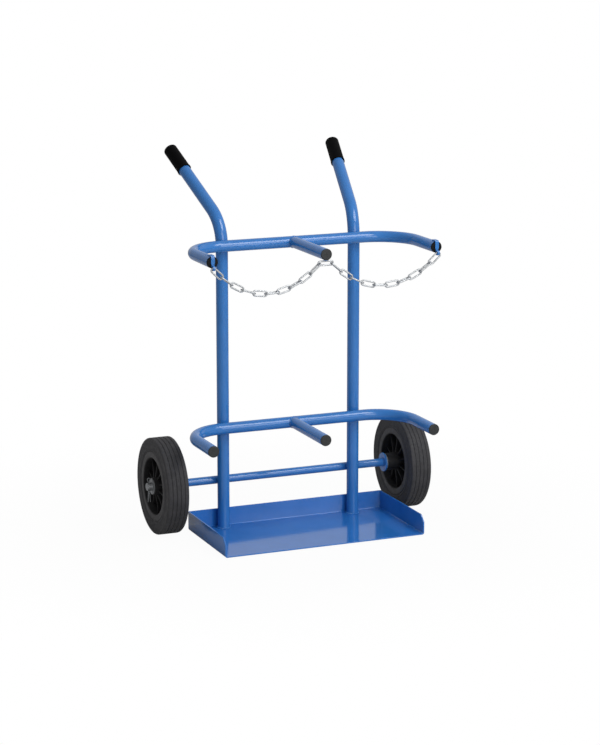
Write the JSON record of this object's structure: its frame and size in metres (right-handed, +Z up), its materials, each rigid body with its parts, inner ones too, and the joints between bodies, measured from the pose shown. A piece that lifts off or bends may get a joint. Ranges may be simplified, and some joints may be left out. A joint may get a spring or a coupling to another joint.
{
  "type": "gas cylinder cart",
  "caption": "Wheeled hand cart for gas cylinders: bent tube frame with retaining hoops, middle arms, safety chains and a folded foot tray.",
  "frame": {"origin": "on the tray's underside, midway between the axes of the two uprights", "axes": "+X across the cart, along the axle; +Y to the back, where the handles lean; +Z up"},
  "size_m": [0.735, 0.5028, 0.9352],
  "materials": {
    "blue_paint": "glossy powder coat",
    "tyre_rubber": "matte solid rubber",
    "rim_plastic": "moulded, slightly glossy",
    "cap_plastic": "moulded, satin",
    "grip_rubber": "smooth soft plastic",
    "zinc": "bright zinc plate",
    "bush_nylon": "plain"
  },
  "bodies": {
    "frame": {"base_tray": "blue_paint", "axle": "blue_paint", "left_upright": "blue_paint", "right_upright": "blue_paint", "upper_hoop": "blue_paint", "lower_hoop": "blue_paint", "upper_middle_arm": "blue_paint", "lower_middle_arm": "blue_paint", "left_chain_strap": "blue_paint", "right_chain_strap": "blue_paint", "centre_chain_bow": "zinc", "left_axle_collar": "blue_paint", "right_axle_collar": "blue_paint", "left_grip": "grip_rubber", "right_grip": "grip_rubber", "upper_left_cap": "cap_plastic", "upper_right_cap": "cap_plastic", "upper_middle_cap": "cap_plastic", "lower_left_cap": "cap_plastic", "lower_right_cap": "cap_plastic", "lower_middle_cap": "cap_plastic", "left_inner_washer": "zinc", "right_inner_washer": "zinc", "left_outer_washer": "zinc", "right_outer_washer": "zinc", "left_split_pin": "zinc", "right_split_pin": "zinc"},
    "left_wheel": {"left_tyre": "tyre_rubber", "left_rim": "rim_plastic", "left_wheel_bush": "bush_nylon"},
    "right_wheel": {"right_tyre": "tyre_rubber", "right_rim": "rim_plastic", "right_wheel_bush": "bush_nylon"},
    "left_chain": {"left_chain_link_01": "zinc", "left_chain_link_02": "zinc", "left_chain_link_03": "zinc", "left_chain_link_04": "zinc", "left_chain_link_05": "zinc", "left_chain_link_06": "zinc", "left_chain_link_07": "zinc", "left_chain_link_08": "zinc", "left_chain_link_09": "zinc", "left_chain_link_10": "zinc"},
    "right_chain": {"right_chain_link_01": "zinc", "right_chain_link_02": "zinc", "right_chain_link_03": "zinc", "right_chain_link_04": "zinc", "right_chain_link_05": "zinc", "right_chain_link_06": "zinc", "right_chain_link_07": "zinc", "right_chain_link_08": "zinc", "right_chain_link_09": "zinc", "right_chain_link_10": "zinc"}
  },
  "joints": [
    {"name": "left_wheel_spin", "type": "hinge", "parent": "frame", "child": "left_wheel", "pos_m": [-0.325, 0.0253, 0.12], "axis": [1, 0, 0], "continuous": true},
    {"name": "right_wheel_spin", "type": "hinge", "parent": "frame", "child": "right_wheel", "pos_m": [0.325, 0.0253, 0.12], "axis": [1, 0, 0], "continuous": true},
    {"name": "left_chain_swing", "type": "hinge", "parent": "frame", "child": "left_chain", "pos_m": [-0.288, -0.2455, 0.7043], "axis": [0.9975, 0.0506, -0.0496], "range_deg": [-30, 30]},
    {"name": "right_chain_swing", "type": "hinge", "parent": "frame", "child": "right_chain", "pos_m": [0.288, -0.2455, 0.7043], "axis": [0.9975, -0.0506, 0.0496], "range_deg": [-30, 30]}
  ]
}
